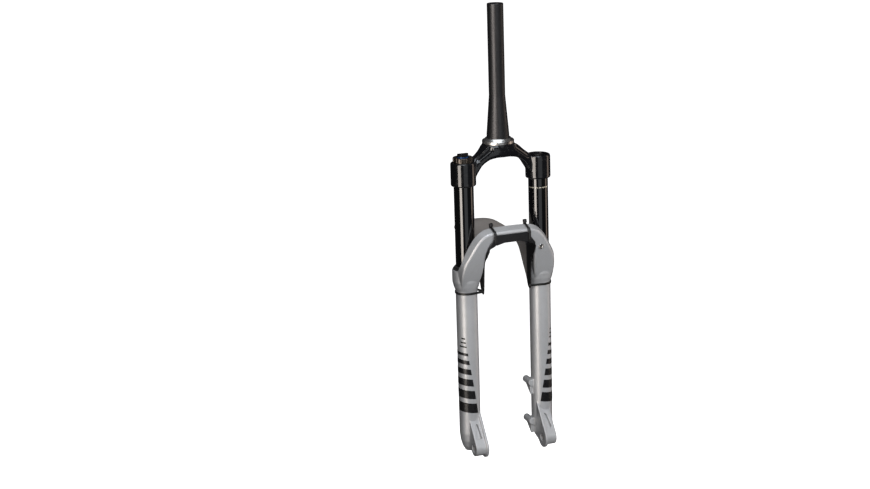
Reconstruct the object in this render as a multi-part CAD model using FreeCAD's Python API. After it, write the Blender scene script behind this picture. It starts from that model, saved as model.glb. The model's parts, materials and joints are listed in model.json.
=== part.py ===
import FreeCAD, Part
import math
import os

# Air-sprung bicycle suspension fork for a 29 inch front wheel. Millimetres. The origin is the middle of
# the wheel axle, +Z runs up the steerer, -Y is forward and +X is the rider's left. The fork is at its
# full length, as it stands with no load; the lower legs slide up by 140 mm.

V = FreeCAD.Vector
os.makedirs("parts", exist_ok=True)

# Main dimensions
CROWN_SEAT_Z = 543.0  # axle to crown
STEERER_Y = 44.0  # fork offset
LEG_X = 70.5  # half the spacing of the legs
LEG_Y = 34.5  # the legs' axes lie this far behind the axle
SIDES = (-1, 1)  # rider's right, rider's left
DAMPER_X = -LEG_X
AIR_X = LEG_X

STEERER_R = 14.3
STEERER_BASE_R = 19.9
STEERER_WALL = 2.2
STEERER_LENGTH = 243.0  # above the crown seat
TAPER_FROM = 15.0  # above the crown seat
TAPER_TO = 83.0

STANCHION_R = 17.5
STANCHION_BORE = 15.75
STANCHION_BOTTOM = 186.0
STANCHION_TOP = 511.0

SOCKET_R = 22.3
SOCKET_BOTTOM = 475.0
SOCKET_TOP = 517.0
CROWN_BOSS_R = 27.5
CROWN_BOTTOM = 520.8  # under the crown's middle
SCOOP_R = 11.0  # hollow along the front of each arm

LEG_R = 19.2
LEG_BORE = 17.95
BUSHING_R = 18.3
LIP_R = 24.5
LIP_Z = 325.0
WIPER_SEAT_R = 22.0
WIPER_SEAT_Z = 314.0
FOAM_SEAT_R = 21.5
FOAM_SEAT_Z = 306.0
SOCKET_CLEARANCE_R = 22.9  # the crown's sockets come down beside the arch at full travel

FOOT_Z = -14.0
FOOT_FLOOR = 12.0
FOOT_RECESS_R = 7.2
FOOT_RECESS_Z = 4.0
SHAFT_R = 6.0
FOOT_BOLT_R = 4.0
ROD_R = 2.0
RUNNING = 0.05  # radial clearance of a running fit

DROPOUT_X = 55.0  # half of the 110 mm hub
FLANGE_X = 59.5
BLOCK_X = 78.0
AXLE_R = 7.5
FLANGE_R = 18.8
BLOCK_R = 14.8
BLOCK_TOP = (26.0, 44.0)  # y, z where the block runs into the leg
POCKET_FLOOR = 5.5  # the block's front pocket stops this far before the block's middle plane

POST_SPACING = 74.2
POST_MIDDLE_Z = 58.5
POST_X = 49.0
POST_Y = 57.0
POST_R = 6.3
POST_HOLE_R = 2.5

BRIDGE_TOP = 402.0
BRIDGE_BOTTOM = 380.0
BRIDGE_REAR = 9.5
BRIDGE_FRONT = -10.0
CORNER = 2.5  # flats on the arch's edges

GUARD_WALL = 1.6
GUARD_HALF = 45.5
GUARD_TOP = 378.5
GUARD_RISE = 34.0  # height of its rounded roof
GUARD_SQUARE = 3.0  # exponent of the roof under the arch: higher is squarer
TRAVEL = 140.0  # from fully extended to fully compressed
TIE_WIDTH = 4.2
TIE_WALL = 1.2
ARCH_TIE_X = 32.0
LEG_TIE_Z = 283.0


def save(name, shape):
    shape.exportStep("parts/" + name + ".step")


def cylinder(r, z0, z1, x=0.0, y=0.0):
    return Part.makeCylinder(r, z1 - z0, V(x, y, z0))


def ring(r_out, r_in, z0, z1, x=0.0, y=0.0):
    return cylinder(r_out, z0, z1, x, y).cut(cylinder(r_in, z0 - 1, z1 + 1, x, y))


def rod_x(r, x0, x1, y, z):
    return Part.makeCylinder(r, x1 - x0, V(x0, y, z), V(1, 0, 0))


def rod_y(r, y0, y1, x, z):
    return Part.makeCylinder(r, y1 - y0, V(x, y0, z), V(0, 1, 0))


def turned(profile, x, y):
    """A closed outline of (radius, z) points, turned about the vertical line through x, y."""
    points = [V(x + r, y, z) for r, z in profile]
    face = Part.Face(Part.makePolygon(points + points[:1]))
    return face.revolve(V(x, y, 0), V(0, 0, 1), 360)


def prism(points, direction):
    """A straight prism on a flat polygon of 3-D points."""
    corners = [V(*p) for p in points]
    return Part.Face(Part.makePolygon(corners + corners[:1])).extrude(V(*direction))


def belt_points(c1, r1, c2, r2):
    """The four points where the two outer tangents touch two circles."""
    dx, dy = c2[0] - c1[0], c2[1] - c1[1]
    gap = math.hypot(dx, dy)
    along = math.atan2(dy, dx)
    spread = math.acos((r1 - r2) / gap)
    ends = []
    for centre, r, turn in ((c1, r1, spread), (c2, r2, spread), (c2, r2, -spread), (c1, r1, -spread)):
        ends.append((centre[0] + r * math.cos(along + turn), centre[1] + r * math.sin(along + turn)))
    return ends


def strap_x(c1, r1, c2, r2, x0, x1):
    """Two rods along X joined by their tangents: c1 and c2 are (y, z)."""
    web = prism([(x0, y, z) for y, z in belt_points(c1, r1, c2, r2)], (x1 - x0, 0, 0))
    return web.fuse([rod_x(r1, x0, x1, *c1), rod_x(r2, x0, x1, *c2)])


def strap_z(c1, r1, c2, r2, z0, z1):
    """Two upright rods joined by their tangents: c1 and c2 are (x, y)."""
    web = prism([(x, y, z0) for x, y in belt_points(c1, r1, c2, r2)], (0, 0, z1 - z0))
    return web.fuse([cylinder(r1, z0, z1, *c1), cylinder(r2, z0, z1, *c2)])


def joined(shapes):
    return shapes[0].fuse(shapes[1:]).removeSplitter()


def mirrored(shape):
    return shape.mirror(V(0, 0, 0), V(1, 0, 0))


def eased(rows, steps):
    """Rows of numbers, with steps rows a span read off a smooth curve through the given ones."""
    fine = []
    for i in range(len(rows) - 1):
        before, start, end, after = (rows[max(0, min(len(rows) - 1, i + k))] for k in (-1, 0, 1, 2))
        for step in range(steps):
            t = step / steps
            fine.append([
                b + 0.5 * t * (c - a + t * (2 * a - 5 * b + 4 * c - d + t * (3 * (b - c) + d - a)))
                for a, b, c, d in zip(before, start, end, after)
            ])
    return fine + [list(rows[-1])]


# Steerer and crown

def steerer_tube():
    top = CROWN_SEAT_Z + STEERER_LENGTH
    low = CROWN_SEAT_Z + TAPER_FROM
    high = CROWN_SEAT_Z + TAPER_TO
    bore = STEERER_R - STEERER_WALL
    base_bore = STEERER_BASE_R - STEERER_WALL
    return turned([
        (base_bore, CROWN_BOTTOM), (STEERER_BASE_R, CROWN_BOTTOM), (STEERER_BASE_R, low),
        (STEERER_R, high), (STEERER_R, top - 0.5), (STEERER_R - 0.5, top), (bore + 0.5, top),
        (bore, top - 0.5), (bore, high), (base_bore, low),
    ], 0, STEERER_Y)


def crown_race():
    seat = CROWN_SEAT_Z
    return turned([
        (STEERER_BASE_R, seat), (28.2, seat), (28.2, seat + 4.2), (27.4, seat + 5.2), (25.6, seat + 5.6),
        (22.4, seat + 8.8), (STEERER_BASE_R, seat + 8.8),
    ], 0, STEERER_Y)


def crown_section(x, top, under, front, rear):
    """The arms' outline at one x: the front leans back at the top and is rounded in below."""
    middle = (top + under) / 2
    points = [(front + 7.0, top), (front + 2.5, top - 4.0), (front, middle), (front + 0.3, under + 5.0),
              (front + 2.0, under + 1.8), (front + 5.0, under), (rear - 3.0, under), (rear, under + 3.0),
              (rear, top - 4.0), (rear - 4.0, top)]
    corners = [V(x, y, z) for y, z in points]
    return Part.makePolygon(corners + corners[:1])


def crown():
    """Both stanchion sockets and the steerer boss, joined by arms that arch over the wheel."""
    sections = [
        (0.0, CROWN_SEAT_Z, CROWN_BOTTOM, 14.0, 70.0),
        (12.0, CROWN_SEAT_Z, 520.4, 14.2, 68.0),
        (24.0, 542.4, 518.2, 15.2, 60.0),
        (31.0, 538.3, 514.6, 16.2, 55.0),
        (38.0, 532.0, 508.6, 17.4, 50.0),
        (44.0, 527.0, 501.4, 18.4, 48.0),
        (49.0, 523.3, 493.4, 19.2, 47.0),
        (54.0, 520.0, 484.0, 20.0, 47.0),
        (62.0, 516.5, 480.0, 21.0, 47.0),
    ]
    arm = Part.makeLoft([crown_section(*row) for row in eased(sections, 3)], True, True)
    edge = 3.0
    socket = [
        (0, SOCKET_BOTTOM), (SOCKET_R - 1.2, SOCKET_BOTTOM), (SOCKET_R, SOCKET_BOTTOM + 1.2),
        (SOCKET_R, SOCKET_TOP - edge), (SOCKET_R - 0.9, SOCKET_TOP - 0.9),
        (SOCKET_R - edge, SOCKET_TOP), (0, SOCKET_TOP),
    ]
    boss = cylinder(CROWN_BOSS_R, CROWN_BOTTOM, CROWN_SEAT_Z, 0, STEERER_Y)
    body = joined([arm, mirrored(arm), boss] + [turned(socket, side * LEG_X, LEG_Y) for side in SIDES])
    cuts = [cylinder(STEERER_BASE_R, CROWN_BOTTOM - 1, CROWN_SEAT_Z + 1, 0, STEERER_Y)]
    cuts.append(cylinder(2 * CROWN_BOSS_R, CROWN_SEAT_Z, CROWN_SEAT_Z + 5, 0, STEERER_Y))
    for side in SIDES:
        start, end = V(side * 29.0, 12.0, 540.0), V(side * 50.0, 15.0, 524.5)
        along = end.sub(start)
        groove = Part.makeCylinder(SCOOP_R, along.Length, start, along)
        cuts.append(joined([groove, Part.makeSphere(SCOOP_R, start), Part.makeSphere(SCOOP_R, end)]))
        cuts.append(cylinder(STANCHION_R, SOCKET_BOTTOM - 1, CROWN_SEAT_Z, side * LEG_X, LEG_Y))
        cuts.append(cylinder(SOCKET_R - edge, SOCKET_TOP, CROWN_SEAT_Z, side * LEG_X, LEG_Y))
    cuts.append(guard_room(10.0, 66.0, 0.6, TRAVEL))
    return body.cut(cuts).removeSplitter()


def stanchion(x):
    edge = 0.8
    return turned([
        (STANCHION_BORE, STANCHION_BOTTOM), (STANCHION_R - edge, STANCHION_BOTTOM),
        (STANCHION_R, STANCHION_BOTTOM + edge), (STANCHION_R, STANCHION_TOP),
        (STANCHION_BORE, STANCHION_TOP),
    ], x, LEG_Y)


# Damper leg, rider's right

CARTRIDGE_R = 14.0
CARTRIDGE_BORE = 12.8
SEAL_HEAD_Z = 188.0
SEAL_HEAD_TOP = 200.0
CARTRIDGE_TOP = 490.0
VALVE_Z = 400.0
CAP_RIM_Z = 518.0
CAP_TOP = 525.5
CAP_RIM_R = 17.9
CAP_RECESS_R = 11.0
KNOB_R = 8.2
KNOB_TOP = 531.6
BAR_REACH = 9.8  # half the length of the knob's finger bar


def damper_top_cap():
    body = turned([
        (0, CARTRIDGE_TOP - 8), (CARTRIDGE_BORE, CARTRIDGE_TOP - 8), (CARTRIDGE_BORE, CARTRIDGE_TOP),
        (STANCHION_BORE, CARTRIDGE_TOP), (STANCHION_BORE, STANCHION_TOP), (STANCHION_R - 0.2, STANCHION_TOP),
        (STANCHION_R - 0.2, CAP_RIM_Z), (CAP_RIM_R, CAP_RIM_Z), (CAP_RIM_R, CAP_TOP - 0.8),
        (CAP_RIM_R - 0.8, CAP_TOP), (CAP_RECESS_R, CAP_TOP), (CAP_RECESS_R, 520.5), (0, 520.5),
    ], DAMPER_X, LEG_Y)
    cuts = [cylinder(2.5 + RUNNING, CARTRIDGE_TOP - 9, 521, DAMPER_X, LEG_Y)]
    for i in range(12):
        turn = math.radians(30 * i)
        x = DAMPER_X + CAP_RIM_R * math.cos(turn)
        y = LEG_Y + CAP_RIM_R * math.sin(turn)
        cuts.append(cylinder(1.5, CAP_RIM_Z, CAP_TOP + 1, x, y))
    return body.cut(cuts)


def cartridge_tube():
    return ring(CARTRIDGE_R, CARTRIDGE_BORE, SEAL_HEAD_TOP, CARTRIDGE_TOP, DAMPER_X, LEG_Y)


def seal_head(x, plug_r):
    """Closes the foot of a stanchion round the shaft."""
    hole = SHAFT_R + RUNNING
    return turned([
        (hole, SEAL_HEAD_Z), (STANCHION_BORE, SEAL_HEAD_Z), (STANCHION_BORE, SEAL_HEAD_TOP),
        (plug_r, SEAL_HEAD_TOP), (plug_r, SEAL_HEAD_TOP + 4), (hole, SEAL_HEAD_TOP + 4),
    ], x, LEG_Y)


def ports(r, count, pitch_r, z0, z1):
    holes = []
    for i in range(count):
        turn = 2 * math.pi * i / count
        x = DAMPER_X + pitch_r * math.cos(turn)
        y = LEG_Y + pitch_r * math.sin(turn)
        holes.append(cylinder(r, z0 - 1, z1 + 1, x, y))
    return holes


def compression_valve():
    """The fixed piston near the top of the cartridge, on its stem from the cap."""
    disc_top = VALVE_Z + 12
    body = turned([
        (2.5 + RUNNING, VALVE_Z), (CARTRIDGE_BORE, VALVE_Z), (CARTRIDGE_BORE, disc_top), (4.0, disc_top),
        (4.0, CARTRIDGE_TOP - 8), (2.5 + RUNNING, CARTRIDGE_TOP - 8),
    ], DAMPER_X, LEG_Y)
    return body.cut(ports(1.6, 6, 8.8, VALVE_Z, disc_top))


def bladder():
    """Rubber sleeve round the stem that takes the oil the shaft pushes aside."""
    low, high = VALVE_Z + 18, CARTRIDGE_TOP - 14
    return turned([
        (4.0, low), (10.0, low), (11.2, low + 6), (11.6, (low + high) / 2), (11.2, high - 6), (10.0, high),
        (4.0, high), (4.0, high - 4), (9.0, high - 4), (10.4, (low + high) / 2), (9.0, low + 4),
        (4.0, low + 4),
    ], DAMPER_X, LEG_Y)


def compression_spindle():
    return cylinder(2.5, VALVE_Z - 4, 523.0, DAMPER_X, LEG_Y)


def compression_knob():
    """A round knob with a wide finger bar across it and a recess for its screw."""
    body = cylinder(KNOB_R, 521.2, 527.6, DAMPER_X, LEG_Y)
    bar = Part.makeBox(2 * BAR_REACH, 7.0, KNOB_TOP - 526.6, V(DAMPER_X - BAR_REACH, LEG_Y - 3.5, 526.6))
    bar = bar.common(cylinder(BAR_REACH, 526.0, KNOB_TOP + 1, DAMPER_X, LEG_Y))
    seat = cylinder(4.0, 520.0, 523.0, DAMPER_X, LEG_Y)
    recess = cylinder(2.2, 527.0, KNOB_TOP + 1, DAMPER_X, LEG_Y)
    return joined([body, bar]).cut([seat, recess])


def knob_ring():
    return ring(9.7, KNOB_R, 521.2, 526.2, DAMPER_X, LEG_Y)


def knob_screw():
    head = cylinder(2.0, 527.0, 529.6, DAMPER_X, LEG_Y)
    return head.cut(cylinder(1.1, 528.2, 530.0, DAMPER_X, LEG_Y))


DAMPER_PISTON_Z = 214.0
DAMPER_PISTON_TOP = 226.0


def damper_shaft():
    body = cylinder(SHAFT_R, FOOT_FLOOR, DAMPER_PISTON_TOP + 4, DAMPER_X, LEG_Y)
    thread = cylinder(FOOT_BOLT_R, FOOT_FLOOR - 1, FOOT_FLOOR + 16, DAMPER_X, LEG_Y)
    passage = cylinder(ROD_R + RUNNING, FOOT_FLOOR - 1, DAMPER_PISTON_TOP - 2, DAMPER_X, LEG_Y)
    return body.cut([thread, passage])


def rebound_piston():
    middle = (DAMPER_PISTON_Z + DAMPER_PISTON_TOP) / 2
    body = turned([
        (SHAFT_R, DAMPER_PISTON_Z), (12.5, DAMPER_PISTON_Z), (12.5, middle - 3), (11.2, middle - 3),
        (11.2, middle + 3), (12.5, middle + 3), (12.5, DAMPER_PISTON_TOP), (SHAFT_R, DAMPER_PISTON_TOP),
    ], DAMPER_X, LEG_Y)
    return body.cut(ports(1.2, 6, 8.7, DAMPER_PISTON_Z, DAMPER_PISTON_TOP))


def glide_ring():
    middle = (DAMPER_PISTON_Z + DAMPER_PISTON_TOP) / 2
    return ring(CARTRIDGE_BORE - RUNNING, 11.2, middle - 3, middle + 3, DAMPER_X, LEG_Y)


def rebound_rod():
    return cylinder(ROD_R, -2.5, DAMPER_PISTON_TOP - 6, DAMPER_X, LEG_Y)


def rebound_knob():
    body = turned([
        (0, FOOT_Z - 0.5), (4.8, FOOT_Z - 0.5), (5.5, FOOT_Z + 0.2), (5.5, -2.5), (0, -2.5),
    ], DAMPER_X, LEG_Y)
    notches = []
    for i in range(10):
        turn = math.radians(36 * i)
        notches.append(cylinder(0.7, FOOT_Z - 1, -2.0, DAMPER_X + 5.7 * math.cos(turn),
                                LEG_Y + 5.7 * math.sin(turn)))
    return body.cut(notches)


# Air leg, rider's left

AIR_PISTON_Z = 209.0
AIR_PISTON_TOP = 221.0
VALVE_R = 4.0
AIR_CAP_FLOOR = 505.0
PIN_R = 0.9


def air_top_cap():
    body = turned([
        (VALVE_R, 492.0), (STANCHION_BORE, 492.0), (STANCHION_BORE, STANCHION_TOP),
        (STANCHION_R - 0.2, STANCHION_TOP), (STANCHION_R - 0.2, STANCHION_TOP + 2.2),
        (12.5, STANCHION_TOP + 2.2), (12.5, AIR_CAP_FLOOR), (VALVE_R, AIR_CAP_FLOOR),
    ], AIR_X, LEG_Y)
    notches = []
    for i in range(8):
        turn = math.radians(45 * i)
        notches.append(cylinder(1.6, AIR_CAP_FLOOR + 2, STANCHION_TOP + 3, AIR_X + 12.8 * math.cos(turn),
                                LEG_Y + 12.8 * math.sin(turn)))
    return body.cut(notches)


def air_valve():
    return ring(VALVE_R, 2.6, 480.0, 514.0, AIR_X, LEG_Y)


def valve_core():
    return ring(2.6, PIN_R + RUNNING, 490.0, 508.0, AIR_X, LEG_Y)


def valve_pin():
    """The pin in the valve core that a pump pushes down; a plate under the core seals it."""
    pin = cylinder(PIN_R, 486.0, 512.5, AIR_X, LEG_Y)
    plate = cylinder(2.2, 487.5, 489.8, AIR_X, LEG_Y)
    return joined([pin, plate])


def valve_cap():
    grip = turned([
        (0, 516.0), (0, 514.5), (VALVE_R + RUNNING, 514.5), (VALVE_R + RUNNING, AIR_CAP_FLOOR + 1),
        (6.0, AIR_CAP_FLOOR + 1), (6.0, 515.2), (5.2, 516.0),
    ], AIR_X, LEG_Y)
    notches = []
    for i in range(12):
        turn = math.radians(30 * i)
        notches.append(cylinder(0.5, AIR_CAP_FLOOR, 517.0, AIR_X + 6.1 * math.cos(turn),
                                LEG_Y + 6.1 * math.sin(turn)))
    return grip.cut(notches)


def volume_tokens():
    """Two stacked spacers that screw under the air cap."""
    tokens = []
    for i in range(2):
        low = 462.0 + 15.0 * i
        tokens.append(turned([
            (5.0, low), (14.0, low), (14.8, low + 1), (14.8, low + 13), (14.0, low + 14.6), (5.0, low + 14.6),
        ], AIR_X, LEG_Y))
    return Part.makeCompound(tokens)


def top_out_bumper():
    return ring(12.0, SHAFT_R + 0.4, SEAL_HEAD_TOP + 4, SEAL_HEAD_TOP + 8, AIR_X, LEG_Y)


def air_shaft():
    body = cylinder(SHAFT_R, FOOT_FLOOR, AIR_PISTON_TOP, AIR_X, LEG_Y)
    return body.cut(cylinder(FOOT_BOLT_R, FOOT_FLOOR - 1, AIR_PISTON_Z - 10, AIR_X, LEG_Y))


def air_piston():
    middle = (AIR_PISTON_Z + AIR_PISTON_TOP) / 2
    outer = STANCHION_BORE - 0.3
    return turned([
        (SHAFT_R, AIR_PISTON_Z), (outer, AIR_PISTON_Z), (outer, middle - 2), (13.2, middle - 2),
        (13.2, middle + 2), (outer, middle + 2), (outer, AIR_PISTON_TOP), (SHAFT_R, AIR_PISTON_TOP),
    ], AIR_X, LEG_Y)


def piston_seal():
    middle = (AIR_PISTON_Z + AIR_PISTON_TOP) / 2
    return ring(STANCHION_BORE - RUNNING, 13.2, middle - 2, middle + 2, AIR_X, LEG_Y)


def bottom_out_bumper():
    return turned([
        (SHAFT_R, FOOT_FLOOR), (9.5, FOOT_FLOOR), (9.5, 34.0), (8.0, 40.0), (SHAFT_R, 40.0),
    ], AIR_X, LEG_Y)


# Seals, bushings and fasteners of both legs

def both_legs(make):
    return Part.makeCompound([make(side * LEG_X) for side in SIDES])


def upper_bushing(x):
    return ring(BUSHING_R, STANCHION_R + RUNNING, 287.0, 305.0, x, LEG_Y)


def lower_bushing(x):
    return ring(BUSHING_R, STANCHION_R + RUNNING, 197.0, 212.0, x, LEG_Y)


def foam_ring(x):
    return ring(FOAM_SEAT_R, STANCHION_R + 0.3, FOAM_SEAT_Z + 0.2, WIPER_SEAT_Z - 0.2, x, LEG_Y)


WIPER_GROOVE = 328.6
WIPER_SPRING_R = 20.75


def dust_wiper(x):
    """Pressed into the leg's lip, with its own lip against the stanchion and a groove for the spring."""
    inner = STANCHION_R + RUNNING
    return turned([
        (inner + 0.6, WIPER_SEAT_Z), (WIPER_SEAT_R, WIPER_SEAT_Z), (WIPER_SEAT_R, LIP_Z), (23.2, LIP_Z),
        (23.0, LIP_Z + 1.6), (20.6, LIP_Z + 2.4), (20.3, WIPER_GROOVE - 0.6), (19.7, WIPER_GROOVE),
        (20.3, WIPER_GROOVE + 0.6), (19.6, LIP_Z + 5.6), (inner + 0.5, LIP_Z + 6.4), (inner, LIP_Z + 5.4),
        (inner, LIP_Z + 4.6), (inner + 0.8, LIP_Z + 2.0),
    ], x, LEG_Y)


def wiper_spring(x):
    """Six-sided wire ring in the wiper's groove."""
    wire = []
    for i in range(6):
        turn = math.radians(60 * i + 30)
        wire.append((WIPER_SPRING_R + 0.5 * math.cos(turn), WIPER_GROOVE + 0.5 * math.sin(turn)))
    return turned(wire, x, LEG_Y)


def crush_washer(x):
    return ring(6.4, FOOT_BOLT_R + 0.2, FOOT_RECESS_Z - 1, FOOT_RECESS_Z, x, LEG_Y)


def foot_bolt(x, hole_r, hole_depth):
    """Holds a shaft to the casting from below; the damper's is hollow for the rebound rod."""
    head_low = -1.8
    head = cylinder(6.4, head_low, FOOT_RECESS_Z - 1, x, LEG_Y)
    shank = cylinder(FOOT_BOLT_R, FOOT_RECESS_Z - 1, FOOT_FLOOR + 14, x, LEG_Y)
    return joined([head, shank]).cut(cylinder(hole_r, head_low - 1, head_low + hole_depth, x, LEG_Y))


# Lower legs: one casting

def leg_outer(x):
    return turned([
        (0, FOOT_Z), (9.6, FOOT_Z), (14.4, -5.5), (17.6, 6.0), (LEG_R, 20.0), (LEG_R, 286.0),
        (22.2, 293.5), (LIP_R, 303.0), (LIP_R, LIP_Z - 0.8), (LIP_R - 0.8, LIP_Z), (0, LIP_Z),
    ], x, LEG_Y)


def leg_cavity(x):
    return turned([
        (0, FOOT_FLOOR), (11.0, FOOT_FLOOR), (LEG_BORE, 42.0), (LEG_BORE, 196.0), (BUSHING_R, 197.0),
        (BUSHING_R, FOAM_SEAT_Z), (FOAM_SEAT_R, FOAM_SEAT_Z), (FOAM_SEAT_R, WIPER_SEAT_Z),
        (WIPER_SEAT_R, WIPER_SEAT_Z), (WIPER_SEAT_R, LIP_Z), (SOCKET_CLEARANCE_R, LIP_Z),
        (SOCKET_CLEARANCE_R, 420.0), (0, 420.0),
    ], x, LEG_Y)


def arch_section(outer_x, outer_z, inner_x, inner_z, front_y, rear_y, back_x, down_z):
    """A four-sided section with its corners cut by flats; the front outer corner is the arch's ridge."""
    corners = [V(outer_x, rear_y, outer_z), V(outer_x - back_x, front_y, outer_z - down_z),
               V(inner_x, front_y + 2.0, inner_z), V(inner_x, rear_y, inner_z)]
    points = []
    for i, corner in enumerate(corners):
        for other in (corners[i - 1], corners[(i + 1) % 4]):
            step = other.sub(corner)
            points.append(corner.add(step.multiply(CORNER / step.Length)))
    return Part.makePolygon(points + points[:1])


def half_arch():
    """From the front of the left leg up to the middle of the bridge."""
    sections = [
        (84.0, 284.0, 57.0, 284.0, 20.0, 34.0, 1.0, 0.0),
        (91.5, 312.0, 51.0, 309.0, 8.5, 34.0, 4.0, 1.0),
        (90.0, 338.0, 48.0, 331.0, 1.0, 14.0, 5.5, 3.0),
        (80.5, 360.0, 46.5, 350.5, -4.5, 12.0, 5.5, 4.0),
        (67.5, 382.0, 41.5, 366.5, -8.0, 10.0, 4.5, 5.5),
        (53.0, 395.5, 32.5, 376.3, -9.5, BRIDGE_REAR, 2.5, 6.5),
        (36.0, 400.8, 22.0, 379.5, -10.0, BRIDGE_REAR, 0.5, 7.0),
        (0.0, BRIDGE_TOP, 0.0, BRIDGE_BOTTOM, BRIDGE_FRONT, BRIDGE_REAR, 0.0, 7.0),
    ]
    return Part.makeLoft([arch_section(*row) for row in eased(sections, 4)], True, True)


def dropout():
    """Left dropout: a thin round flange against the hub and a narrower block outside it."""
    flange = strap_x((0, 0), FLANGE_R, (27.0, 52.0), 9.0, DROPOUT_X, FLANGE_X)
    block = strap_x((0, 0), BLOCK_R, BLOCK_TOP, 9.0, DROPOUT_X, BLOCK_X)
    reach = math.hypot(*BLOCK_TOP)
    up_y, up_z = BLOCK_TOP[0] / reach, BLOCK_TOP[1] / reach
    corners = ((FLANGE_X + 3.0, 13.0), (BLOCK_X - 5.0, 13.0), (BLOCK_X - 9.0, 38.0), (FLANGE_X + 6.0, 42.0))
    floor = []
    for x, along in corners:
        floor.append((x, along * up_y - POCKET_FLOOR * up_z, along * up_z + POCKET_FLOOR * up_y))
    pocket = prism(floor, (0, -20 * up_z, 20 * up_y))
    return joined([flange, block]).cut(pocket)


def brake_posts():
    """Two posts behind the left leg for the disc brake, with a web down to the dropout."""
    pieces = []
    for z in (POST_MIDDLE_Z - POST_SPACING / 2, POST_MIDDLE_Z + POST_SPACING / 2):
        pieces.append(rod_y(POST_R, 28.0, POST_Y, POST_X, z))
        gusset = [(30.0, z - 22), (POST_Y - 4, z - 4), (POST_Y - 4, z), (30.0, z + 2)]
        saddle = [(28.0, z - 8), (46.0, z - 6), (46.0, z + 5), (28.0, z + 6)]
        pieces.append(prism([(POST_X - 3.0, y, up) for y, up in gusset], (8.0, 0, 0)))
        pieces.append(prism([(POST_X, y, up) for y, up in saddle], (14.0, 0, 0)))
    pieces.append(prism([(DROPOUT_X, 4.0, -18.3), (DROPOUT_X, 50.0, 8.0), (DROPOUT_X, 44.0, 24.0),
                         (DROPOUT_X, 10.0, 8.0)], (5.0, 0, 0)))
    return pieces


INSERT_X = 57.5
INSERT_Z = 359.0
INSERT_Y = -6.5
INSERT_DEPTH = 10.0


def lower_legs():
    half = [leg_outer(LEG_X), half_arch(), dropout()]
    boss = rod_y(5.0, INSERT_Y + 0.8, 4.0, INSERT_X, INSERT_Z)
    pieces = half + [mirrored(piece) for piece in half] + brake_posts() + [boss]
    body = joined(pieces)
    cuts = [rod_x(AXLE_R, -BLOCK_X - 2, BLOCK_X + 2, 0, 0)]
    for side in SIDES:
        x = side * LEG_X
        cuts.append(leg_cavity(x))
        cuts.append(cylinder(FOOT_RECESS_R, -30.0, FOOT_RECESS_Z, x, LEG_Y))
        cuts.append(cylinder(FOOT_BOLT_R + 0.1, -30.0, FOOT_FLOOR + 1, x, LEG_Y))
    for z in (POST_MIDDLE_Z - POST_SPACING / 2, POST_MIDDLE_Z + POST_SPACING / 2):
        cuts.append(rod_y(POST_HOLE_R, POST_Y - 15.0, POST_Y + 1, POST_X, z))
    cuts.append(rod_y(3.4, INSERT_Y - 6, INSERT_Y + INSERT_DEPTH, INSERT_X, INSERT_Z))
    cuts.append(guard_room(-14.0, 16.0, 0.4))
    return body.cut(cuts)


def hose_guide_insert():
    outer = rod_y(3.4, INSERT_Y, INSERT_Y + INSERT_DEPTH, INSERT_X, INSERT_Z)
    return outer.cut(rod_y(2.1, INSERT_Y - 1, INSERT_Y + 8.0, INSERT_X, INSERT_Z))


# Mudguard and cable ties

def guard_section(y, half, top, bottom, square, wall=0.0):
    """Points of an upside-down U at one y: square is the exponent of its rounded roof."""
    half, top = half - wall, top - wall
    spring = max(top - GUARD_RISE, bottom + 1.0)
    points = []
    for i in range(-8, 9):
        turn = math.radians(90) * i / 8
        across = math.copysign(abs(math.sin(turn)) ** (2 / square), turn)
        points.append(V(half * across, y, spring + (top - spring) * abs(math.cos(turn)) ** (2 / square)))
    left, right = V(-half, y, bottom), V(half, y, bottom)
    return [left] + points + [right]


def guard_room(low_y, high_y, gap, lift=0.0):
    """The space the guard's roof takes up with a gap round it, lifted when the fork is compressed."""
    outline = guard_section(low_y, GUARD_HALF + gap, GUARD_TOP + gap, 340.0, GUARD_SQUARE)
    return prism([(p.x, p.y, p.z + lift) for p in outline], (0, high_y - low_y, 0))


def guard_wire(station):
    outer = guard_section(*station)
    inner = guard_section(*station, wall=GUARD_WALL)
    points = outer + inner[::-1]
    return Part.makePolygon(points + points[:1])


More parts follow.
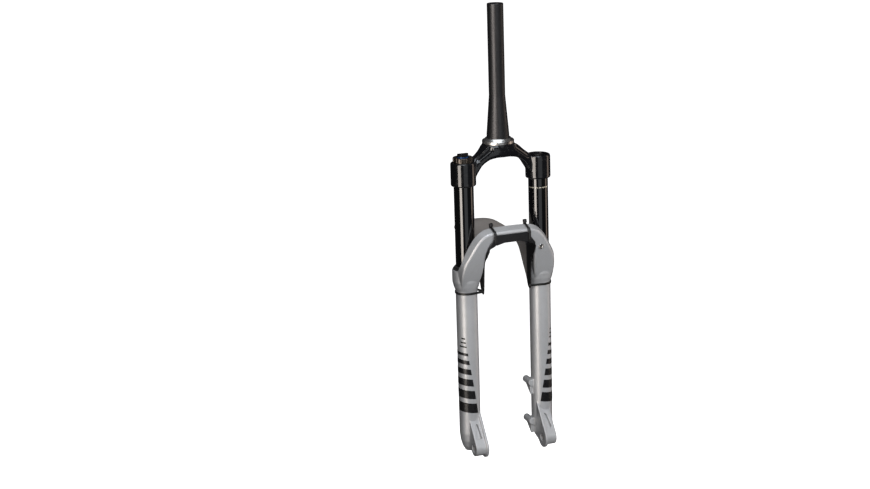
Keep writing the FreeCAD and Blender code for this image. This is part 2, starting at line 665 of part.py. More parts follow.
def mudguard():
    """A thin bent sheet under the arch, with wings inside the legs and a tail over the tyre."""
    stations = [
        (-13.0, 44.5, 378.0, 362.0, 2.5), (-4.0, GUARD_HALF, GUARD_TOP, 350.0, 2.55),
        (5.0, GUARD_HALF, GUARD_TOP, 342.0, GUARD_SQUARE), (10.0, GUARD_HALF, GUARD_TOP, 330.0, GUARD_SQUARE),
        (13.0, GUARD_HALF, GUARD_TOP, 300.0, GUARD_SQUARE),
        (16.0, GUARD_HALF, GUARD_TOP, 278.6, GUARD_SQUARE),
        (26.0, GUARD_HALF, GUARD_TOP, 279.2, GUARD_SQUARE),
        (34.0, GUARD_HALF, GUARD_TOP, 296.0, GUARD_SQUARE),
        (48.0, GUARD_HALF, GUARD_TOP, 316.0, GUARD_SQUARE), (66.0, GUARD_HALF, 378.8, 342.0, GUARD_SQUARE),
        (82.0, 44.5, 380.5, 352.0, 2.7), (100.0, 43.5, 381.8, 357.0, 2.3),
        (118.0, 42.0, 382.2, 360.0, 2.2), (136.0, 41.0, 381.5, 361.0, 2.3),
        (154.0, 40.5, 379.5, 361.5, 2.5), (172.0, 39.0, 376.0, 362.0, 2.6),
    ]
    sheet = Part.makeLoft([guard_wire(s) for s in eased(stations, 2)], True, True)
    half_lip = [(29.0, 391.0), (34.0, 384.0), (43.0, 371.0), (44.0, 366.0), (30.0, 372.0), (14.0, 375.8)]
    outline = half_lip + [(-x, z) for x, z in reversed(half_lip)]
    lip = prism([(x, -13.0, z) for x, z in outline], (0, 1.8, 0))
    slots = []
    for side in SIDES:
        slots.append(arch_tie_loop(side, 0.3))
        slots.append(leg_tie_loop(side, 0.3))
    return joined([sheet, lip]).cut(slots)


def arch_tie_loop(side, room=0.0):
    """A strap round the bridge and the guard's lip; room swells it for the slots it passes through."""
    inner = [(11.6, 402.6), (-11.2, 396.0), (-14.6, 391.5), (-14.6, 373.0), (11.6, 372.0)]
    middle = (-1.5, 386.5)
    wall = TIE_WALL + room
    outer = []
    held = []
    for y, z in inner:
        out_y, out_z = y - middle[0], z - middle[1]
        away = math.hypot(out_y, out_z)
        for ring_points, grow in ((outer, wall), (held, -room)):
            step = 1.25 * grow / away
            ring_points.append((y + out_y * step, z + out_z * step))
    low = side * ARCH_TIE_X - TIE_WIDTH / 2 - room
    width = (TIE_WIDTH + 2 * room, 0, 0)
    return prism([(low, y, z) for y, z in outer], width).cut(prism([(low, y, z) for y, z in held], width))


def arch_tie(side):
    """The loop, its ratchet head on top of the arch and the cut end of the strap."""
    x = side * ARCH_TIE_X
    head = Part.makeBox(6.4, 5.2, 6.0, V(x - 3.2, 4.6, 401.8))
    return joined([arch_tie_loop(side), head])


def leg_tie_loop(side, room=0.0):
    """A strap round the leg and through the guard's wing."""
    centre = (side * LEG_X, LEG_Y)
    wing = (side * (GUARD_HALF + 0.4), 20.0)
    low, high = LEG_TIE_Z - TIE_WIDTH / 2 - room, LEG_TIE_Z + TIE_WIDTH / 2 + room
    wall = TIE_WALL + room
    outer = strap_z(centre, LEG_R + 0.25 + wall, wing, 1.9 + wall, low, high)
    held = strap_z(centre, LEG_R + 0.25 - room, wing, 1.9 - room, low - 1, high + 1)
    return outer.cut(held)


def leg_tie(side):
    """The loop with its head behind the leg."""
    head = Part.makeBox(6.4, 5.0, 5.4, V(side * LEG_X - 3.2, LEG_Y + LEG_R + 0.6, LEG_TIE_Z - 2.7))
    return joined([leg_tie_loop(side), head])


# Everything, one file a sub-part

SIDE_NAMES = {-1: "right", 1: "left"}

save("steerer_tube", steerer_tube())
save("crown_race", crown_race())
save("crown", crown())
for side in SIDES:
    save("stanchion_" + SIDE_NAMES[side], stanchion(side * LEG_X))
    save("arch_tie_" + SIDE_NAMES[side], arch_tie(side))
    save("leg_tie_" + SIDE_NAMES[side], leg_tie(side))

save("damper_top_cap", damper_top_cap())
save("cartridge_tube", cartridge_tube())
save("cartridge_seal_head", seal_head(DAMPER_X, CARTRIDGE_BORE))
save("compression_valve", compression_valve())
save("bladder", bladder())
save("compression_spindle", compression_spindle())
save("compression_knob", compression_knob())
save("knob_ring", knob_ring())
save("knob_screw", knob_screw())
save("damper_shaft", damper_shaft())
save("rebound_piston", rebound_piston())
save("glide_ring", glide_ring())
save("rebound_rod", rebound_rod())
save("rebound_knob", rebound_knob())
save("foot_bolt_damper", foot_bolt(DAMPER_X, ROD_R + RUNNING, 40.0))

save("air_top_cap", air_top_cap())
save("air_valve", air_valve())
save("valve_core", valve_core())
save("valve_pin", valve_pin())
save("valve_cap", valve_cap())
save("volume_tokens", volume_tokens())
save("air_seal_head", seal_head(AIR_X, 14.0))
save("top_out_bumper", top_out_bumper())
save("air_shaft", air_shaft())
save("air_piston", air_piston())
save("piston_seal", piston_seal())
save("bottom_out_bumper", bottom_out_bumper())
save("foot_bolt_air", foot_bolt(AIR_X, 2.5, 3.5))

save("upper_bushings", both_legs(upper_bushing))
save("lower_bushings", both_legs(lower_bushing))
save("foam_rings", both_legs(foam_ring))
save("dust_wipers", both_legs(dust_wiper))
save("wiper_springs", both_legs(wiper_spring))
save("crush_washers", both_legs(crush_washer))

save("lower_legs", lower_legs())
save("hose_guide_insert", hose_guide_insert())
save("mudguard", mudguard())
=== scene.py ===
import json
import math

import bmesh
import bpy
from mathutils import Matrix, Vector


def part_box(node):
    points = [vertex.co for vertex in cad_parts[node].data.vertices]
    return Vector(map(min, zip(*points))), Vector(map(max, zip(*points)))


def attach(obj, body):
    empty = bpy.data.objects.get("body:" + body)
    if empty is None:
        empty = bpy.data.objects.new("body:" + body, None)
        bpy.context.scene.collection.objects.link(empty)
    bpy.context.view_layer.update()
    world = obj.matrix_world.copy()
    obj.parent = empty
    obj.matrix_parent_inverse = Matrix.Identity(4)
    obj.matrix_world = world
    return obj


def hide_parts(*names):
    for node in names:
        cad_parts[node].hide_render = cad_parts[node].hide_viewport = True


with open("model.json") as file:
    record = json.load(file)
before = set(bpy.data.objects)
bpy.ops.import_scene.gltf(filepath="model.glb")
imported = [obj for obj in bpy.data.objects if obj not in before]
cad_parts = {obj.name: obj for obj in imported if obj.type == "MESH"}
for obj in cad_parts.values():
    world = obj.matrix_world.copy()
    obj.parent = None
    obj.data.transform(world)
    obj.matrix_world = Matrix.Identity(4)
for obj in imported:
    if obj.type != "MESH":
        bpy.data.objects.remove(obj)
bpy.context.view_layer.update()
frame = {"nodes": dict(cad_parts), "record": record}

# Looks of an air-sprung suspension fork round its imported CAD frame.
# Metres; -Y is forward, +X is the rider's left.

MM = 0.001


def middle(node):
    low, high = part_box(node)
    return (low + high) / 2


LEG_X = middle("stanchion_left").x
LEG_Y = middle("stanchion_left").y
LEG_R = 19.2 * MM
SIDES = {"right": -1, "left": 1}


# Camera, light and floor

CAMERA_AZIMUTH = math.radians(-20.0)
CAMERA_ELEVATION = math.radians(15.1)
CAMERA_ROLL = math.radians(-1.84)
CAMERA_PLACE = Vector((-1.1908, -2.8888, 1.2148))
LENS = 76.47
SENSOR_WIDTH = 36.0
FLOOR_Z = -0.75
FLOOR_HALF = 60.0
LIT_CENTRE = Vector((0, 0.04, 0.40))


def add_camera():
    azimuth, elevation = CAMERA_AZIMUTH, CAMERA_ELEVATION
    back = Vector((math.sin(azimuth) * math.cos(elevation), -math.cos(azimuth) * math.cos(elevation),
                   math.sin(elevation)))
    right = Vector((math.cos(azimuth), math.sin(azimuth), 0))
    up = back.cross(right)
    across = math.cos(CAMERA_ROLL) * right + math.sin(CAMERA_ROLL) * up
    over = back.cross(across)
    data = bpy.data.cameras.new("camera")
    data.lens = LENS
    data.sensor_width = SENSOR_WIDTH
    data.clip_end = 100.0
    camera = bpy.data.objects.new("camera", data)
    turn = Matrix((across, over, back)).transposed().to_4x4()
    camera.matrix_world = Matrix.Translation(CAMERA_PLACE) @ turn
    bpy.context.scene.collection.objects.link(camera)
    bpy.context.scene.camera = camera


def softbox(name, bearing, elevation, distance, wide, tall, watts, colour, mirrored=True, spread=True):
    """A rectangular light facing the fork; bearing is in degrees round it, to the right of the camera."""
    turn = CAMERA_AZIMUTH + math.radians(bearing)
    lift = math.radians(elevation)
    out = Vector((math.sin(turn) * math.cos(lift), -math.cos(turn) * math.cos(lift), math.sin(lift)))
    data = bpy.data.lights.new(name, "AREA")
    data.shape = "RECTANGLE"
    data.size = wide
    data.size_y = tall
    data.energy = watts
    data.color = colour
    light = bpy.data.objects.new(name, data)
    light.location = LIT_CENTRE + out * distance
    light.rotation_mode = "QUATERNION"
    light.rotation_quaternion = out.to_track_quat("Z", "Y")
    light.visible_glossy = mirrored
    light.visible_diffuse = spread
    bpy.context.scene.collection.objects.link(light)


def add_world():
    """Pale to the camera, soft for matt surfaces and dim for mirrors, like a dark room round a light tent."""
    world = bpy.data.worlds.new("studio")
    world.use_nodes = True
    nodes, links = world.node_tree.nodes, world.node_tree.links
    nodes.clear()
    ray = nodes.new("ShaderNodeLightPath")
    pale = nodes.new("ShaderNodeBackground")
    pale.inputs["Color"].default_value = (1.0, 1.0, 1.0, 1)
    soft = nodes.new("ShaderNodeBackground")
    soft.inputs["Color"].default_value = (0.98, 0.99, 1.0, 1)
    soft.inputs["Strength"].default_value = 0.14
    dim = nodes.new("ShaderNodeBackground")
    dim.inputs["Color"].default_value = (0.014, 0.014, 0.016, 1)
    matt = nodes.new("ShaderNodeMixShader")
    links.new(ray.outputs["Is Glossy Ray"], matt.inputs[0])
    links.new(soft.outputs[0], matt.inputs[1])
    links.new(dim.outputs[0], matt.inputs[2])
    seen = nodes.new("ShaderNodeMixShader")
    links.new(ray.outputs["Is Camera Ray"], seen.inputs[0])
    links.new(matt.outputs[0], seen.inputs[1])
    links.new(pale.outputs[0], seen.inputs[2])
    out = nodes.new("ShaderNodeOutputWorld")
    links.new(seen.outputs[0], out.inputs["Surface"])
    bpy.context.scene.world = world


def add_floor(material):
    mesh = bpy.data.meshes.new("floor")
    half = FLOOR_HALF
    corners = [(-half, -half), (half, -half), (half, half), (-half, half)]
    mesh.from_pydata([(x, y, FLOOR_Z) for x, y in corners], [], [(0, 1, 2, 3)])
    floor = bpy.data.objects.new("floor", mesh)
    floor.data.materials.append(material)
    floor.visible_glossy = False
    floor.visible_diffuse = False
    bpy.context.scene.collection.objects.link(floor)


# Materials

TRAVEL_LINE_Z = 459 * MM
TRAVEL_LINE_HALF = 0.8 * MM
# The guard is black up to the first depth and painted with a light grey-brown sheen behind the second.
GUARD_BLACK_TO_Y = 27 * MM
GUARD_PAINTED_SHEEN_FROM_Y = 33 * MM


class Look:
    """A node material being put together; its texture space is the fork's own frame, in metres."""

    def __init__(self, name, **sockets):
        self.material = bpy.data.materials.new(name)
        self.material.use_nodes = True
        tree = self.material.node_tree
        self.nodes, self.links = tree.nodes, tree.links
        self.shader = self.nodes["Principled BSDF"]
        self.place = self.nodes.new("ShaderNodeTexCoord").outputs["Object"]
        self.height = None
        for socket, value in sockets.items():
            self.shader.inputs[socket.replace("_", " ")].default_value = value

    def put(self, socket, value):
        if isinstance(value, bpy.types.NodeSocket):
            self.links.new(value, socket)
        else:
            socket.default_value = value

    def stretched(self, scale):
        node = self.nodes.new("ShaderNodeMapping")
        node.inputs["Scale"].default_value = scale
        self.links.new(self.place, node.inputs["Vector"])
        return node.outputs[0]

    def noise(self, scale, detail=4.0, stretch=None):
        node = self.nodes.new("ShaderNodeTexNoise")
        node.inputs["Scale"].default_value = scale
        node.inputs["Detail"].default_value = detail
        self.links.new(self.stretched(stretch) if stretch else self.place, node.inputs["Vector"])
        return node.outputs["Fac"]

    def cells(self, scale, output="Distance"):
        node = self.nodes.new("ShaderNodeTexVoronoi")
        node.inputs["Scale"].default_value = scale
        self.links.new(self.place, node.inputs["Vector"])
        return node.outputs[output]

    def span(self, value, from_low, from_high, to_low, to_high, smooth=False):
        node = self.nodes.new("ShaderNodeMapRange")
        if smooth:
            node.interpolation_type = "SMOOTHSTEP"
        self.links.new(value, node.inputs["Value"])
        for socket, number in zip(("From Min", "From Max", "To Min", "To Max"),
                                  (from_low, from_high, to_low, to_high)):
            node.inputs[socket].default_value = number
        return node.outputs["Result"]

    def math(self, operation, a, b=0.0):
        node = self.nodes.new("ShaderNodeMath")
        node.operation = operation
        self.put(node.inputs[0], a)
        self.put(node.inputs[1], b)
        return node.outputs[0]

    def mix(self, factor, a, b):
        node = self.nodes.new("ShaderNodeMix")
        node.data_type = "RGBA"
        self.put(node.inputs["Factor"], factor)
        self.put(node.inputs["A"], a)
        self.put(node.inputs["B"], b)
        return node.outputs["Result"]

    def axis(self, letter):
        node = self.nodes.new("ShaderNodeSeparateXYZ")
        self.links.new(self.place, node.inputs[0])
        return node.outputs[letter]

    def edges(self):
        return self.nodes.new("ShaderNodeNewGeometry").outputs["Pointiness"]

    def rough(self, value):
        self.links.new(value, self.shader.inputs["Roughness"])

    def colour(self, value):
        self.links.new(value, self.shader.inputs["Base Color"])

    def bump(self, height, distance, strength=1.0):
        node = self.nodes.new("ShaderNodeBump")
        node.inputs["Distance"].default_value = distance
        node.inputs["Strength"].default_value = strength
        self.links.new(height, node.inputs["Height"])
        if self.height:
            self.links.new(self.height, node.inputs["Normal"])
        self.height = node.outputs["Normal"]
        self.links.new(self.height, self.shader.inputs["Normal"])


def rgb(red, green, blue):
    return (red, green, blue, 1.0)


def turned_metal(name, dark, light, rough, metallic=1.0, **sockets):
    """Metal with the fine level rings that a lathe leaves."""
    look = Look(name, Metallic=metallic, **sockets)
    rings = look.noise(1.0, 3.0, (60.0, 60.0, 9000.0))
    smudge = look.noise(70.0, 5.0)
    look.colour(look.mix(look.span(rings, 0.3, 0.7, 0.0, 1.0), dark, light))
    look.rough(look.span(look.math("ADD", smudge, look.math("MULTIPLY", rings, 0.4)), 0.5, 0.9, rough * 0.8,
                         rough * 1.3))
    look.bump(rings, 0.004 * MM)
    return look.material


def cast_silver():
    """Satin silver paint with fine metal flake over cast magnesium; lighter on its edges, partly rubbed wear
    and partly painted highlight, with painted shade in its inside corners.
    """
    look = Look("cast_silver", Metallic=0.35, Coat_Weight=0.6, Coat_Roughness=0.14)
    flake = look.cells(5200.0, "Color")
    broad = look.noise(9.0, 3.0)
    grime = look.noise(85.0, 6.0)
    base = look.mix(look.span(broad, 0.35, 0.65, 0.0, 1.0), rgb(0.50, 0.50, 0.51), rgb(0.56, 0.56, 0.565))
    base = look.mix(look.span(grime, 0.52, 0.78, 0.0, 0.22), base, rgb(0.40, 0.385, 0.37))
    sparkle = look.nodes.new("ShaderNodeSeparateColor")
    look.links.new(flake, sparkle.inputs[0])
    base = look.mix(look.span(sparkle.outputs[0], 0.8, 1.0, 0.0, 0.35), base, rgb(0.86, 0.86, 0.87))
    # Convex edges painted lighter: partly rubbed wear, partly painted highlight standing for the bright ribs.
    edge_wear_and_highlight = look.span(look.edges(), 0.53, 0.60, 0.0, 0.5, smooth=True)
    base = look.mix(edge_wear_and_highlight, base, rgb(0.74, 0.74, 0.74))
    # Painted shade: inside corners and crevices darkened where little light reaches.
    painted_corner_shade = look.span(look.edges(), 0.40, 0.47, 0.55, 0.0, smooth=True)
    base = look.mix(painted_corner_shade, base, rgb(0.20, 0.19, 0.18))
    look.colour(base)
    look.rough(look.span(grime, 0.3, 0.75, 0.42, 0.54))
    look.bump(look.noise(420.0, 3.0), 0.02 * MM, 0.6)
    look.bump(sparkle.outputs[1], 0.006 * MM, 0.35)
    return look.material


def crown_black():
    """Deep gloss black enamel on the forging, with orange peel and a little dust on top."""
    look = Look("crown_black", Coat_Weight=1.0, Coat_Roughness=0.035, Specular_IOR_Level=0.5)
    dust = look.noise(160.0, 8.0)
    look.colour(look.mix(look.span(dust, 0.55, 0.8, 0.0, 0.12), rgb(0.006, 0.006, 0.007),
                         rgb(0.16, 0.15, 0.14)))
    look.rough(look.span(dust, 0.35, 0.7, 0.12, 0.24))
    look.bump(look.noise(260.0, 2.0), 0.012 * MM, 0.5)
    return look.material


def stanchion_black():
    """Hard black anodising, polished, with honing marks and a dotted travel line on the air side."""
    look = Look("stanchion_black", Metallic=0.0, Coat_Weight=1.0, Coat_Roughness=0.03, Coat_IOR=1.7)
    hone = look.noise(1.0, 3.0, (500.0, 500.0, 14000.0))
    film = look.noise(24.0, 4.0, (1.0, 1.0, 0.2))
    base = look.mix(look.span(film, 0.4, 0.65, 0.0, 1.0), rgb(0.002, 0.002, 0.003), rgb(0.005, 0.005, 0.004))
    z = look.axis("Z")
    x, y = look.axis("X"), look.axis("Y")
    angle = look.math("ARCTAN2", look.math("SUBTRACT", y, LEG_Y), look.math("SUBTRACT", x, LEG_X))
    height = look.math("ABSOLUTE", look.math("SUBTRACT", z, TRAVEL_LINE_Z))
    line = look.math("LESS_THAN", height, TRAVEL_LINE_HALF)
    dash = look.math("LESS_THAN", look.math("FRACT", look.math("MULTIPLY", angle, 2.6)), 0.72)
    air_side = look.math("GREATER_THAN", x, 0.0)
    mark = look.math("MULTIPLY", look.math("MULTIPLY", line, dash), air_side)
    look.colour(look.mix(mark, base, rgb(0.62, 0.56, 0.44)))
    look.rough(look.span(hone, 0.3, 0.7, 0.10, 0.16))
    look.bump(hone, 0.0015 * MM, 0.5)
    return look.material


def steerer_black():
    """Satin black anodised tube with circular brush marks and handling marks."""
    look = Look("steerer_black", Metallic=0.85, Specular_IOR_Level=0.5)
    brush = look.noise(1.0, 4.0, (220.0, 220.0, 5200.0))
    rub = look.noise(30.0, 6.0, (1.0, 1.0, 0.35))
    base = look.mix(look.span(brush, 0.3, 0.7, 0.0, 1.0), rgb(0.055, 0.055, 0.060), rgb(0.085, 0.083, 0.084))
    base = look.mix(look.span(rub, 0.58, 0.75, 0.0, 0.5), base, rgb(0.12, 0.115, 0.11))
    look.colour(base)
    look.rough(look.span(rub, 0.3, 0.7, 0.34, 0.46))
    look.bump(brush, 0.006 * MM, 0.5)
    return look.material


def rubber(name, tone, rough, grain):
    look = Look(name, Sheen_Weight=0.15, Sheen_Roughness=0.4)
    spots = look.noise(grain, 6.0)
    bloom = look.noise(45.0, 4.0)
    look.colour(look.mix(look.span(bloom, 0.4, 0.75, 0.0, 0.5), rgb(tone, tone, tone),
                         rgb(tone * 2.6, tone * 2.5, tone * 2.4)))
    look.rough(look.span(spots, 0.3, 0.7, rough - 0.08, rough + 0.10))
    look.bump(spots, 0.03 * MM, 0.5)
    return look.material


def moulded(name, low, high, rough, grain, relief, **sockets):
    """Moulded plastic: a fine tooled grain over slow changes of tone."""
    look = Look(name, **sockets)
    slow = look.noise(22.0, 4.0)
    fine = look.noise(grain, 3.0)
    look.colour(look.mix(look.span(slow, 0.35, 0.68, 0.0, 1.0), low, high))
    look.rough(look.span(fine, 0.3, 0.7, rough - 0.06, rough + 0.07))
    look.bump(fine, relief, 0.6)
    return look.material


def guard_plastic():
    """Flexible guard sheet: black round the arch, and behind it a light grey-brown painted sheen on the black
    plastic.
    """
    look = Look("guard_plastic", Specular_IOR_Level=0.5)
    grain = look.noise(900.0, 3.0)
    slow = look.noise(14.0, 4.0)
    # Painted sheen: the light grey-brown behind the arch stands for light the black sheet reflects there.
    painted_sheen = look.mix(look.span(slow, 0.35, 0.68, 0.0, 1.0), rgb(0.30, 0.27, 0.25), rgb(0.36, 0.33, 0.31))
    black = look.mix(look.span(slow, 0.35, 0.68, 0.0, 1.0), rgb(0.010, 0.010, 0.011),
                     rgb(0.022, 0.021, 0.021))
    behind = look.span(look.axis("Y"), GUARD_BLACK_TO_Y, GUARD_PAINTED_SHEEN_FROM_Y, 0.0, 1.0, smooth=True)
    look.colour(look.mix(behind, black, painted_sheen))
    look.rough(look.span(grain, 0.3, 0.7, 0.34, 0.46))
    look.bump(grain, 0.02 * MM, 0.5)
    return look.material


def foam():
    look = Look("foam")
    pores = look.cells(1400.0)
    look.colour(look.mix(look.span(pores, 0.1, 0.6, 0.0, 1.0), rgb(0.03, 0.03, 0.03), rgb(0.12, 0.12, 0.11)))
    look.rough(look.span(pores, 0.0, 0.6, 0.8, 0.95))
    look.bump(pores, 0.2 * MM, 0.8)
    return look.material


def floor_pale():
    look = Look("floor_pale")
    soft = look.noise(1.3, 3.0)
    look.colour(look.mix(look.span(soft, 0.3, 0.7, 0.0, 1.0), rgb(0.86, 0.86, 0.86), rgb(0.88, 0.88, 0.88)))
    look.rough(look.span(soft, 0.3, 0.7, 0.85, 0.95))
    look.shader.inputs["Emission Color"].default_value = rgb(1.0, 1.0, 1.0)
    look.shader.inputs["Emission Strength"].default_value = 1.0
    return look.material


LOOKS = {
    "steerer_black": steerer_black(),
    "crown_black": crown_black(),
    "stanchion_black": stanchion_black(),
    "cast_silver": cast_silver(),
    "bare_steel": turned_metal("bare_steel", rgb(0.72, 0.71, 0.69), rgb(0.88, 0.87, 0.85), 0.30),
    "cap_bronze": turned_metal("cap_bronze", rgb(0.055, 0.046, 0.040), rgb(0.10, 0.082, 0.066), 0.26,
                               metallic=0.8, Coat_Weight=0.3),
    "cap_black": turned_metal("cap_black", rgb(0.012, 0.012, 0.013), rgb(0.030, 0.029, 0.029), 0.24,
                              metallic=0.6, Coat_Weight=0.3),
    "ring_blue": turned_metal("ring_blue", rgb(0.02, 0.13, 0.42), rgb(0.05, 0.22, 0.62), 0.28, metallic=0.7),
    "knob_red": turned_metal("knob_red", rgb(0.42, 0.02, 0.015), rgb(0.62, 0.05, 0.03), 0.28, metallic=0.8),
    "steel": turned_metal("steel", rgb(0.42, 0.42, 0.43), rgb(0.60, 0.60, 0.60), 0.26),
    "brass": turned_metal("brass", rgb(0.62, 0.43, 0.17), rgb(0.80, 0.60, 0.28), 0.24),
    "bare_aluminium": turned_metal("bare_aluminium", rgb(0.60, 0.61, 0.62), rgb(0.76, 0.77, 0.78), 0.30),
    "wiper_rubber": rubber("wiper_rubber", 0.012, 0.46, 900.0),
    "seal_rubber": rubber("seal_rubber", 0.016, 0.55, 1200.0),
    "bushing": turned_metal("bushing", rgb(0.20, 0.17, 0.10), rgb(0.30, 0.25, 0.15), 0.45, metallic=0.6),
    "foam": foam(),
    "plastic_black": moulded("plastic_black", rgb(0.012, 0.012, 0.012), rgb(0.028, 0.027, 0.026), 0.36,
                             1500.0, 0.012 * MM),
    "guard_plastic": guard_plastic(),
    "token_plastic": moulded("token_plastic", rgb(0.05, 0.05, 0.055), rgb(0.08, 0.08, 0.085), 0.45, 1100.0,
                             0.02 * MM),
    "glide_white": moulded("glide_white", rgb(0.70, 0.69, 0.66), rgb(0.80, 0.79, 0.77), 0.38, 1300.0,
                           0.01 * MM),
}
DECAL_BLACK = moulded("decal_black", rgb(0.008, 0.008, 0.009), rgb(0.016, 0.016, 0.017), 0.30, 700.0,
                      0.008 * MM)


def dress_cad():
    """Each CAD node shows the look of its slot in the record."""
    for part in frame["record"]["subparts"]:
        mesh = frame["nodes"][part["node"]].data
        mesh.materials.clear()
        mesh.materials.append(LOOKS[part["material_slot"]])


# Mesh tools

def new_piece(name, mesh, look, body, nodes=()):
    piece = bpy.data.objects.new(name, mesh)
    mesh.materials.clear()
    mesh.materials.append(look)
    bpy.context.scene.collection.objects.link(piece)
    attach(piece, body)
    if nodes:
        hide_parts(*nodes)
    return piece


def evaluated(piece):
    graph = bpy.context.evaluated_depsgraph_get()
    return bpy.data.meshes.new_from_object(piece.evaluated_get(graph))


def rounded_copy(node, voxel, passes):
    """The node's solid as an even mesh with its edges and inside corners rounded, as a mould leaves them."""
    mesh = frame["nodes"][node].data.copy()
    work = bmesh.new()
    work.from_mesh(mesh)
    bmesh.ops.remove_doubles(work, verts=work.verts, dist=0.002 * MM)
    work.to_mesh(mesh)
    work.free()
    piece = bpy.data.objects.new("working_copy", mesh)
    bpy.context.scene.collection.objects.link(piece)
    even = piece.modifiers.new("even", "REMESH")
    even.mode = "VOXEL"
    even.voxel_size = voxel
    even.use_smooth_shade = True
    soften = piece.modifiers.new("soften", "SMOOTH")
    soften.factor = 0.5
    soften.iterations = passes
    result = evaluated(piece)
    bpy.data.objects.remove(piece)
    for face in result.polygons:
        face.use_smooth = True
    return result


def join_rings(work, rings):
    """Faces between each closed ring of points and the next, and from the last back to the first."""
    for i, ring in enumerate(rings):
        after = rings[(i + 1) % len(rings)]
        for k in range(len(ring)):
            j = (k + 1) % len(ring)
            work.faces.new((ring[k], ring[j], after[j], after[k]))


def finished_mesh(work, name, smooth=True):
    bmesh.ops.recalc_face_normals(work, faces=work.faces)
    mesh = bpy.data.meshes.new(name)
    work.to_mesh(mesh)
    work.free()
    for face in mesh.polygons:
        face.use_smooth = smooth
    return mesh


# Marks on the legs: plain leaning bars, as thin film

MARK_TOP = 172 * MM
MARK_BARS = 6
MARK_GAP = 8.5 * MM
MARK_LOW = 54 * MM
MARK_LEAN = math.radians(56) / (118 * MM)
MARK_FRONT = math.radians(-33)
MARK_WIDTH = math.radians(118)
MARK_SLOPE = 0.16
FILM = 0.20 * MM


def add_bar(work, side, z_low, z_high, width):
    """A bar of film round the leg between two heights; its ends lean outward as they rise."""
    across, up = 28, 3
    layers = []
    for radius in (LEG_R - 0.4 * MM, LEG_R + FILM):
        rows = []
        for j in range(up + 1):
            z = z_low + (z_high - z_low) * j / up
            start = MARK_FRONT + MARK_LEAN * (z - MARK_LOW)
            row = []
            for i in range(across + 1):
                turn = start + width * i / across
                across_leg = side * radius * math.sin(turn)
                row.append(work.verts.new((side * LEG_X + across_leg, LEG_Y - radius * math.cos(turn),
                                           z - MARK_SLOPE * across_leg)))
            rows.append(row)
        layers.append(rows)
    inner, outer = layers
    for j in range(up):
        for i in range(across):
            for rows in layers:
                work.faces.new((rows[j][i], rows[j][i + 1], rows[j + 1][i + 1], rows[j + 1][i]))
    for i in range(across):
        for j in (0, up):
            work.faces.new((inner[j][i], inner[j][i + 1], outer[j][i + 1], outer[j][i]))
    for j in range(up):
        for i in (0, across):
            work.faces.new((inner[j][i], inner[j + 1][i], outer[j + 1][i], outer[j][i]))


def leg_marks(side):
    """Bars that grow taller down the leg, under a few short fine ones."""
    work = bmesh.new()
    z = MARK_TOP
    for i in range(MARK_BARS):
        tall = (5.0 + 2.6 * i) * MM
        add_bar(work, side, z - tall, z, MARK_WIDTH)
        z -= tall + MARK_GAP
    for i in range(3):
        low = MARK_TOP + (10 + 7.5 * i) * MM
        add_bar(work, side, low, low + 2.6 * MM, MARK_WIDTH * (0.34 - 0.08 * i))
    return finished_mesh(work, "leg_marks", smooth=False)


# Cable ties

TIE_WIDTH = 4.2 * MM
TIE_WALL = 1.2 * MM
TOOTH_PITCH = 1.1 * MM
TOOTH_DEPTH = 0.22 * MM
HEAD_SIZE = (6.4 * MM, 5.2 * MM, 6.0 * MM)
WING_FOOT_X = 45.9 * MM
WING_FOOT_Y = 20 * MM
WING_FOOT_R = 1.9 * MM


def even_loop(points, pitch):
    """The closed line through the points, walked in equal steps of about the pitch."""
    lengths = [(points[(i + 1) % len(points)] - p).length for i, p in enumerate(points)]
    total = sum(lengths)
    count = max(24, round(total / pitch))
    walked, i, start = [], 0, 0.0
    for k in range(count):
        at = total * k / count
        while at > start + lengths[i]:
            start += lengths[i]
            i += 1
        walked.append(points[i].lerp(points[(i + 1) % len(points)], (at - start) / max(lengths[i], 1e-9)))
    return walked


def rounded_corners(points, passes, share):
    """Corners of a closed line cut back, again and again, by a share of each side."""
    for _ in range(passes):
        cut = []
        for i, p in enumerate(points):
            after = points[(i + 1) % len(points)]
            cut.extend((p.lerp(after, share), after.lerp(p, share)))
        points = cut
    return points


def add_strap(work, loop, across):
    """A closed nylon band round a loop: toothed inside, smooth outside with soft edges."""
    rings = []
    centre = sum(loop, Vector()) / len(loop)
    for i, p in enumerate(loop):
        along = (loop[(i + 1) % len(loop)] - loop[i - 1]).normalized()
        out = along.cross(across)
        if out.dot(p - centre) < 0:
            out.negate()
        tooth = TOOTH_DEPTH if i % 2 else 0.0
        half, bevel = TIE_WIDTH / 2, 0.35 * MM
        section = [(-half, 0.0), (-half, TIE_WALL - bevel), (bevel - half, TIE_WALL),
                   (half - bevel, TIE_WALL), (half, TIE_WALL - bevel), (half, 0.0),
                   (half * 0.6, tooth), (-half * 0.6, tooth)]
        rings.append([work.verts.new(p + across * w + out * t) for w, t in section])
    join_rings(work, rings)


def add_block(work, centre, axes, sizes, bevel):
    """A box with rounded edges, along three given axes."""
    made = bmesh.ops.create_cube(work, size=1.0)
    for vertex in made["verts"]:
        offset = [axes[k] * vertex.co[k] * sizes[k] for k in range(3)]
        vertex.co = centre + offset[0] + offset[1] + offset[2]
    edges = {edge for vertex in made["verts"] for edge in vertex.link_edges}
    bmesh.ops.bevel(work, geom=list(edges), offset=bevel, segments=3, affect="EDGES", profile=0.6)


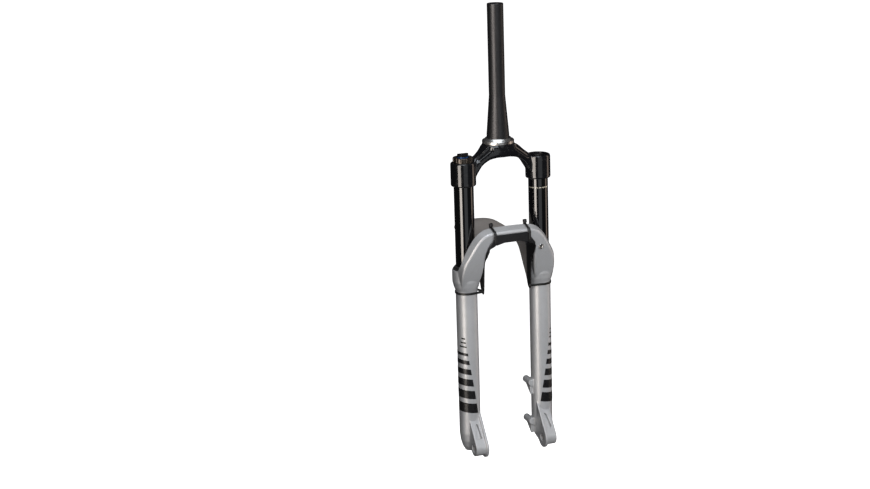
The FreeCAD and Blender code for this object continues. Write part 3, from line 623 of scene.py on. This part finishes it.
def cable_tie(loop_points, across, head, axes):
    """A band, its ratchet head with the strap's mouth and pawl, and the stub left where the tail was cut."""
    work = bmesh.new()
    add_strap(work, even_loop(loop_points, TOOTH_PITCH / 2), across)
    wide, deep, tall = axes
    add_block(work, head, axes, HEAD_SIZE, 1.1 * MM)
    add_block(work, head - deep * 2.4 * MM, axes, (5.0 * MM, 1.2 * MM, 4.4 * MM), 0.4 * MM)
    for side in (-1, 1):
        lip = head + wide * side * 2.7 * MM + tall * 3.0 * MM
        add_block(work, lip, axes, (1.0 * MM, 3.6 * MM, 0.8 * MM), 0.25 * MM)
    add_block(work, head + tall * 3.0 * MM, axes, (TIE_WIDTH, 1.3 * MM, 2.0 * MM), 0.25 * MM)
    return finished_mesh(work, "cable_tie")


def arch_tie(side):
    """Round the bridge and the guard's lip, with the head standing on the bridge's rear edge."""
    low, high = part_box("arch_tie_left" if side > 0 else "arch_tie_right")
    x = (low.x + high.x) / 2
    corners = [(11.6, 402.6), (-11.2, 396.0), (-14.6, 391.5), (-14.6, 373.0), (11.6, 372.0)]
    loop = rounded_corners([Vector((x, y * MM, z * MM)) for y, z in corners], 3, 0.16)
    lean = Matrix.Rotation(math.radians(-16), 3, "X")
    axes = (Vector((1, 0, 0)), lean @ Vector((0, 1, 0)), lean @ Vector((0, 0, 1)))
    return cable_tie(loop, Vector((1, 0, 0)), Vector((x, 7.0 * MM, high.z - 2.8 * MM)), axes)


def leg_tie(side):
    """Round the leg and the foot of the guard's wing, with the head behind the leg."""
    low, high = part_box("leg_tie_left" if side > 0 else "leg_tie_right")
    z = (low.z + high.z) / 2
    circles = [(Vector((side * LEG_X, LEG_Y, z)), LEG_R + 0.25 * MM),
               (Vector((side * WING_FOOT_X, WING_FOOT_Y, z)), WING_FOOT_R)]
    points = []
    for i in range(180):
        turn = 2 * math.pi * i / 180
        out = Vector((math.cos(turn), math.sin(turn), 0))
        centre, radius = max(circles, key=lambda c: c[0].dot(out) + c[1])
        points.append(centre + out * radius)
    head = Vector((side * LEG_X, high.y - 2.6 * MM, z))
    axes = (Vector((0, 0, 1)), Vector((0, -1, 0)), Vector((-side, 0, 0)))
    return cable_tie(points, Vector((0, 0, 1)), head, axes)


def insert_ring(casting):
    """The hose guide's insert: a rolled collar on the arch round its hole. Radii and depths are in mm."""
    low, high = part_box("hose_guide_insert")
    centre = (low + high) / 2
    before = Vector((centre.x + 4.4 * MM, -0.2, centre.z))
    seat = casting.ray_cast(before, Vector((0, 1, 0)))[1]
    front = seat.y - 0.7 * MM
    deepest = (high.y - front) / MM
    profile = [(2.1, deepest), (2.1, 0.9), (2.5, 0.2), (3.2, 0.0), (4.1, 0.05), (4.6, 0.5), (4.6, 2.2),
               (3.4, 2.2), (3.4, deepest)]
    work = bmesh.new()
    rings = []
    for i in range(64):
        turn = 2 * math.pi * i / 64
        across, up = math.cos(turn) * MM, math.sin(turn) * MM
        rings.append([work.verts.new((centre.x + r * across, front + deep * MM, centre.z + r * up))
                      for r, deep in profile])
    join_rings(work, rings)
    return finished_mesh(work, "insert_ring")




# The scene

add_camera()
add_world()
add_floor(floor_pale())
softbox("key", -36, 6, 2.3, 1.05, 2.9, 50, (1.0, 0.92, 0.84), spread=False)
softbox("front", 22, 24, 2.6, 2.0, 2.0, 60, (0.96, 0.98, 1.0), mirrored=False)
softbox("fill", 20, 4, 2.8, 1.9, 2.6, 5.5, (0.92, 0.96, 1.0))
softbox("warm_side", 100, 5, 2.4, 0.8, 2.8, 7, (1.0, 0.80, 0.66))
softbox("top", -10, 74, 2.2, 1.8, 1.4, 16, (0.90, 0.95, 1.0))
softbox("window", 6, 56, 2.4, 0.5, 0.6, 7, (0.80, 0.88, 1.0), spread=False)
softbox("back_left", -150, -12, 2.4, 1.0, 1.5, 12, (0.95, 0.97, 1.0), mirrored=False)
softbox("back_right", 160, -12, 2.4, 1.0, 1.5, 12, (1.0, 0.97, 0.93), mirrored=False)

dress_cad()
casting = new_piece("lower_legs_casting", rounded_copy("lower_legs", 0.6 * MM, 12), LOOKS["cast_silver"],
                    "lowers", ["lower_legs"])
new_piece("hose_insert_ring", insert_ring(casting), LOOKS["bare_steel"], "lowers",
          ["hose_guide_insert"])
new_piece("crown_forging", rounded_copy("crown", 0.8 * MM, 12), LOOKS["crown_black"], "upper_assembly",
          ["crown"])
new_piece("guard_sheet", rounded_copy("mudguard", 0.8 * MM, 3), LOOKS["guard_plastic"], "lowers",
          ["mudguard"])

for word, side in SIDES.items():
    new_piece("leg_marks_" + word, leg_marks(side), DECAL_BLACK, "lowers")
    new_piece("bridge_cable_tie_" + word, arch_tie(side), LOOKS["plastic_black"], "lowers",
              ["arch_tie_" + word])
    new_piece("leg_cable_tie_" + word, leg_tie(side), LOOKS["plastic_black"], "lowers",
              ["leg_tie_" + word])

bpy.context.scene.view_settings.view_transform = "Standard"
